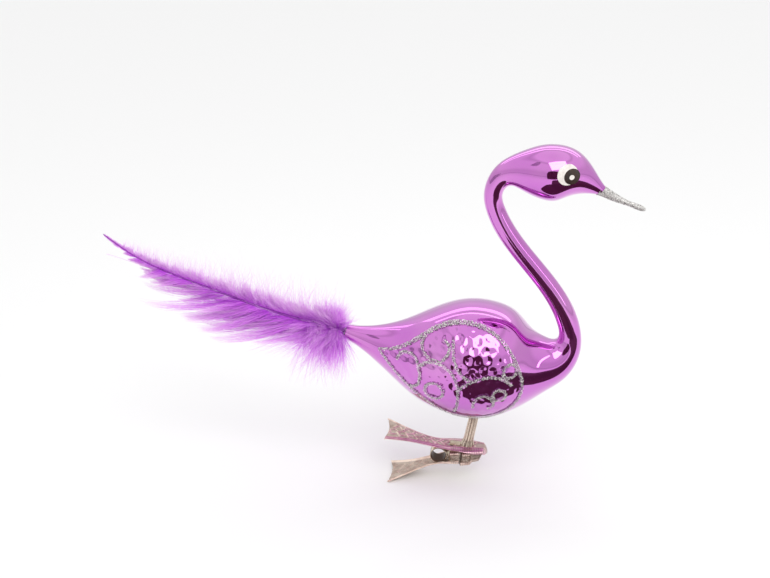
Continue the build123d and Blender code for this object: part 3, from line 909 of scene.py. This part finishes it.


# tail and nose are X. point is how far the nose's middle stands out, bend the radius it turns down
# over and bite how far the teeth reach down. step is a raised pad: its first X, last X and height.
# After step come how dark the nose is painted, how much painted pink reflection of the purple glass the
# lever gets, and how dark its hollows and the jaw's sides are painted: partly patina, partly painted shade.
# level and drop are the height of the sheet's middle line and how far its sides turn down, by X. flip turns
# the whole lever upside down.
UPPER_LEVER = {
    "tail": -32.6, "nose": 1.2, "point": 1.6, "bend": 1.1, "bite": 2.2, "flip": False,
    "step": (0, 0, 0), "nose_darkening": 0, "blush": 0.6, "hollows": 0.42,
    "level": [(-32.6, 8.0), (-24, 5.7), (ROLL_X, 3.45), (-8, 3.0), (1.2, 2.55)],
    "drop": [(-33, 0.35), (-24, 0.45), (ROLL_X, 0.4), (-10, 0.3), (-6, 0.75), (-3, 1.25), (1.8, 1.4)],
}
LOWER_LEVER = {
    "tail": -31.4, "nose": -0.7, "point": 1.2, "bend": 1.0, "bite": 1.6, "flip": True,
    "step": (-7.6, -4.2, 0.75), "nose_darkening": 0.5, "blush": 0.05, "hollows": 0.42,
    "level": [(-31.4, 8.6), (-24, 6.2), (ROLL_X, 3.2), (-10, 2.8), (-5, 2.3), (-0.7, 1.6)],
    "drop": [(-32, 0.35), (-24, 0.5), (ROLL_X, 0.9), (-9.5, 1.6), (-5, 1.8), (0, 1.3)],
}
build_lever("upper_lever", UPPER_LEVER, "clip_upper_lever", "swan")
build_lever("lower_lever", LOWER_LEVER, "clip_lower_lever", "lower_lever")

# ---------------------------------------------------------------- spring

ROLL_RADIUS = 2.7  # of the strip's middle line
STRIP_HALF_WIDTH, ROLL_HALF_WIDTH = 1.6, 3.0
STRIP_HALF_THICKNESS = 0.175
STRIP_ROUNDING = 0.1  # radius of the strip's long edges


def walk(start, heading, moves, step=0.2):
    """Points of a path of ("go", length) and ("turn", radius, degrees) moves in the XZ plane."""
    x, z = start
    heading = radians(heading)
    points = [(x, z)]
    for kind, *sizes in moves:
        length = sizes[0] if kind == "go" else sizes[0] * abs(radians(sizes[1]))
        turn = 0 if kind == "go" else radians(sizes[1])
        count = max(2, int(length / step))
        for _ in range(count):
            heading += turn / count / 2
            stride = length / count
            x, z = x + cos(heading) * stride, z + sin(heading) * stride
            heading += turn / count / 2
            points.append((x, z))
    return np.array(points)


def strip_section():
    """The strip's cross-section with rounded corners: across it and through it."""
    side, face = STRIP_HALF_WIDTH - STRIP_ROUNDING, STRIP_HALF_THICKNESS - STRIP_ROUNDING
    section = []
    for sign_y, sign_t, first in ((1, 1, 0), (-1, 1, 90), (-1, -1, 180), (1, -1, 270)):
        for turn in np.radians(np.linspace(first, first + 90, 4)):
            y = sign_y * side + STRIP_ROUNDING * cos(turn)
            section.append((y, sign_t * face + STRIP_ROUNDING * sin(turn)))
    return section


def build_spring():
    """One strip: a leg on the upper lever, the roll, and a leg that curls under the lower lever."""
    half_roll = [("turn", ROLL_RADIUS, -158), ("turn", 0.55, 153), ("go", 1.95), ("turn", 0.5, -88.6)]
    back = (ROLL_X - ROLL_RADIUS, 0)
    upper = walk(back, 90, [*half_roll, ("go", 3.1)])
    lower = walk(back, 90, [*half_roll, ("go", 3.4), ("turn", 0.45, 200)]) * (1, -1)
    path = np.vstack([upper[::-1], lower[1:]])
    ahead = unit(np.gradient(path, axis=0))
    out = np.stack([-ahead[:, 1], ahead[:, 0]], axis=1)
    on_roll = np.hypot(path[:, 0] - ROLL_X, path[:, 1]) < ROLL_RADIUS + 0.05
    widen = np.where(on_roll, ROLL_HALF_WIDTH / STRIP_HALF_WIDTH, 1)
    section = strip_section()
    points = np.array(
        [
            [(x + ox * t, y * wide, z + oz * t) for y, t in section]
            for (x, z), (ox, oz), wide in zip(path, out, widen)
        ]
    )
    faces = tube_faces(len(path), len(section))
    spring = new_piece(
        "spring", points, faces, SPRING_STRIP, ["clip_spring"], body=None, sharp=60
    )
    x, y, z = points.transpose(2, 0, 1)
    # Painted shade: the roll's inner face and its lower half are painted nearly to the dark colour, the legs
    # a quarter of the way.
    inner_face = np.hypot(x - ROLL_X, z) < ROLL_RADIUS
    below_top = smooth_step(1.9, 0.9, z) * (np.abs(y) < ROLL_HALF_WIDTH - STRIP_ROUNDING)
    roll_shade = 0.97 * np.maximum(inner_face, 0.8 * below_top)
    give_attribute(spring, "shade", np.where(on_roll[:, None], roll_shade, 0.25))
    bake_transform(spring)


build_spring()

# ---------------------------------------------------------------- stem

STEM_FOOT = (-5.2, 2.9975)  # X and Z, on the upper lever
STEM_LEAN = 11  # degrees from upright, towards the beak
STEM_LENGTH = 18.4
STEM_SIDES, STEM_FLUTES = 120, 10
STEM_RADIUS, STEM_TAPER = 1.8, 0.25  # at the foot, and how much less at the top
STEM_BORE = 0.8  # radius
FLUTE_DEPTH, FOOT_FLUTE_DEPTH = 0.38, 0.48
FOOT_SPLAY, SPLAY_HEIGHT = 0.75, 2.6  # how much wider the foot is, and how far up it starts


def build_stem():
    """Fluted tube, splayed at its foot and open all through."""
    lean = radians(STEM_LEAN)
    foot = np.array([STEM_FOOT[0], 0, STEM_FOOT[1]])
    axis = np.array([sin(lean), 0, cos(lean)])
    side = np.array([cos(lean), 0, -sin(lean)])
    turn = np.linspace(0, 2 * pi, STEM_SIDES, endpoint=False)
    ridge = np.abs(np.sin(turn * STEM_FLUTES / 2)) ** 0.7
    heights = np.concatenate([np.linspace(-0.5, 3, 30), np.linspace(3.2, STEM_LENGTH, 60)])

    def ring(height, radius):
        across, flank = np.outer(radius * np.cos(turn), side), np.outer(radius * np.sin(turn), LEFTWARD)
        return foot + axis * height + across + flank

    rings = []
    for height in heights:
        low = smooth_step(SPLAY_HEIGHT, 0.0, height)
        radius = STEM_RADIUS - STEM_TAPER * height / STEM_LENGTH + FOOT_SPLAY * low
        depth = FLUTE_DEPTH + (FOOT_FLUTE_DEPTH - FLUTE_DEPTH) * low
        rings.append(ring(height, radius - depth * (1 - ridge)))
    rings += [ring(height, STEM_BORE) for height in heights[::-1]]
    faces = grid_faces(len(rings), STEM_SIDES, closed=True).tolist()
    last = (len(rings) - 1) * STEM_SIDES
    for k in range(STEM_SIDES):
        beside = (k + 1) % STEM_SIDES
        faces.append((last + k, last + beside, beside, k))
    stem = new_piece("stem", np.vstack(rings), faces, ROLLED_TIN, ["clip_stem"], sharp=60)
    # Darker in the flutes: partly patina, partly painted shade.
    give_attribute(stem, "shade", np.tile(0.5 * (1 - ridge) ** 1.5, len(rings)))


build_stem()

# ---------------------------------------------------------------- stage, light and camera


def flat_material(name, colour, strength=0.0):
    """One even colour for the stage, which may glow."""
    material, _, shader = new_material(name, Roughness=0.9)
    shader.inputs["Base Color"].default_value = (*colour, 1)
    shader.inputs["Emission Color"].default_value = (*colour, 1)
    shader.inputs["Emission Strength"].default_value = strength
    return material


def stage_plane(name, centre, size, towards, material, card=False):
    """A flat sheet of the stage, width by height; a card is rounded, and seen only in reflections."""
    mesh = bpy.data.meshes.new(name)
    x, y = size[0] / 2, size[1] / 2
    corners = [(-x, -y, 0), (x, -y, 0), (x, y, 0), (-x, y, 0)]
    if card:
        turn = np.linspace(0, 2 * pi, 40, endpoint=False)
        rounding = (np.abs(np.cos(turn)) ** 3 + np.abs(np.sin(turn)) ** 3) ** (1 / 3)
        corners = [(x * cos(a) / r, y * sin(a) / r, 0) for a, r in zip(turn, rounding)]
    mesh.from_pydata(corners, [], [tuple(range(len(corners)))])
    mesh.materials.append(material)
    plane = bpy.data.objects.new(name, mesh)
    bpy.context.scene.collection.objects.link(plane)
    plane.location = centre
    plane.rotation_mode = "QUATERNION"
    plane.rotation_quaternion = (Vector(towards) - Vector(centre)).to_track_quat("Z", "Y")
    if card:
        plane.visible_camera = False
        plane.visible_diffuse = False
        plane.visible_shadow = False


# Glow of the studio by elevation in degrees: floor, dim horizon, wall and ceiling with a seam.
TENT = [
    (-90, 0.8), (-2, 0.8), (1, 0.5), (4, 0.66), (16, 0.64), (28, 0.78), (50, 0.8), (56, 0.62), (62, 0.86),
    (90, 0.8),
]
TENT_STRENGTH = 1.22


def light_world():
    """Pale tent all round."""
    world = bpy.data.worlds.new("tent")
    bpy.context.scene.world = world
    world.use_nodes = True
    tree = world.node_tree
    shade = tree.nodes["Background"]
    place = tree.nodes.new("ShaderNodeTexCoord")
    split = tree.nodes.new("ShaderNodeSeparateXYZ")
    tree.links.new(place.outputs["Generated"], split.inputs["Vector"])
    angle = tree.nodes.new("ShaderNodeMath")
    angle.operation = "ARCSINE"
    tree.links.new(split.outputs["Z"], angle.inputs[0])
    height = tree.nodes.new("ShaderNodeMapRange")
    height.inputs["From Min"].default_value = -pi / 2
    height.inputs["From Max"].default_value = pi / 2
    tree.links.new(angle.outputs["Value"], height.inputs["Value"])
    stops = [(elevation / 180 + 0.5, (glow, glow, glow)) for elevation, glow in TENT]
    colour = add_ramp(tree, height.outputs["Result"], *stops)
    tree.links.new(colour, shade.inputs["Color"])
    shade.inputs["Strength"].default_value = TENT_STRENGTH


PHOTO_CAMERA = Vector((0.0223, -0.6370, 0.3451))
PHOTO_TARGET = Vector((-0.0335, 0.0, 0.0604))
LENS = 98.2
CLIP_START, CLIP_END = 0.01, 20
FLOOR_GAP = 0.0002  # under the lowest point of the CAD
CARD_LIFT = 0.001  # of the cards that lie on the floor

centre = Vector((0, 0, 0.05))
floor_z = cad_box[0].z - FLOOR_GAP
stage_plane("floor", (0, 0, floor_z), (6, 6), (0, 0, 1), flat_material("floor", (0.92, 0.92, 0.92)))
light_world()


def around(azimuth, elevation, distance):
    """Place seen from the swan's middle: azimuth 0 is towards -Y and 90 towards +X, in degrees."""
    a, e = radians(azimuth), radians(elevation)
    return centre + distance * Vector((sin(a) * cos(e), -cos(a) * cos(e), sin(e)))


def softbox(name, place, width, tall, glow):
    """Area light towards the swan with an even glow, in the same measure as the world's strength."""
    light = bpy.data.lights.new(name, "AREA")
    light.shape = "RECTANGLE"
    light.size = width
    light.size_y = tall
    light.energy = glow * pi * width * tall
    lamp = bpy.data.objects.new(name, light)
    bpy.context.scene.collection.objects.link(lamp)
    lamp.location = place
    lamp.rotation_mode = "QUATERNION"
    lamp.rotation_quaternion = (centre - place).to_track_quat("-Z", "Y")
    lamp.visible_camera = False


def table_card(name, x, y, size):
    """Dark card lying just above the floor."""
    stage_plane(name, (x, y, floor_z + CARD_LIFT), size, (x, y, 1), dark, card=True)


softbox("back_box", around(180, 48, 0.22), 0.34, 0.034, 0.9)
softbox("back_strip", around(180, 62, 0.22), 0.34, 0.014, 1.2)
softbox("front_box", around(20, 50, 0.9), 0.56, 0.5, 2.4)
softbox("right_strip", around(62, 25, 0.8), 0.05, 0.6, 2.5)

dark = flat_material("dark_card", (0.052, 0.007, 0.024), 0.35)
grey = flat_material("grey_card", (0.34, 0.31, 0.35), 0.35)
stage_plane("camera_card", around(3, 9, 0.9), (0.52, 0.64), centre, dark, card=True)
table_card("near_card", 0.065, -0.125, (0.21, 0.2))
stage_plane("left_card", around(-74, 7, 1.0), (0.62, 0.26), centre, grey, card=True)
stage_plane("upper_left_card", around(-48, 48, 1.0), (0.16, 0.3), centre, grey, card=True)
table_card("table_card", 0.145, -0.33, (0.26, 0.6))

camera_data = bpy.data.cameras.new("camera")
camera_data.lens = LENS
camera_data.clip_start = CLIP_START
camera_data.clip_end = CLIP_END
camera = bpy.data.objects.new("camera", camera_data)
bpy.context.scene.collection.objects.link(camera)
camera.location = PHOTO_CAMERA
camera.rotation_mode = "QUATERNION"
camera.rotation_quaternion = (PHOTO_TARGET - PHOTO_CAMERA).to_track_quat("-Z", "Y")
bpy.context.scene.camera = camera
bpy.context.scene.view_settings.view_transform = "Standard"
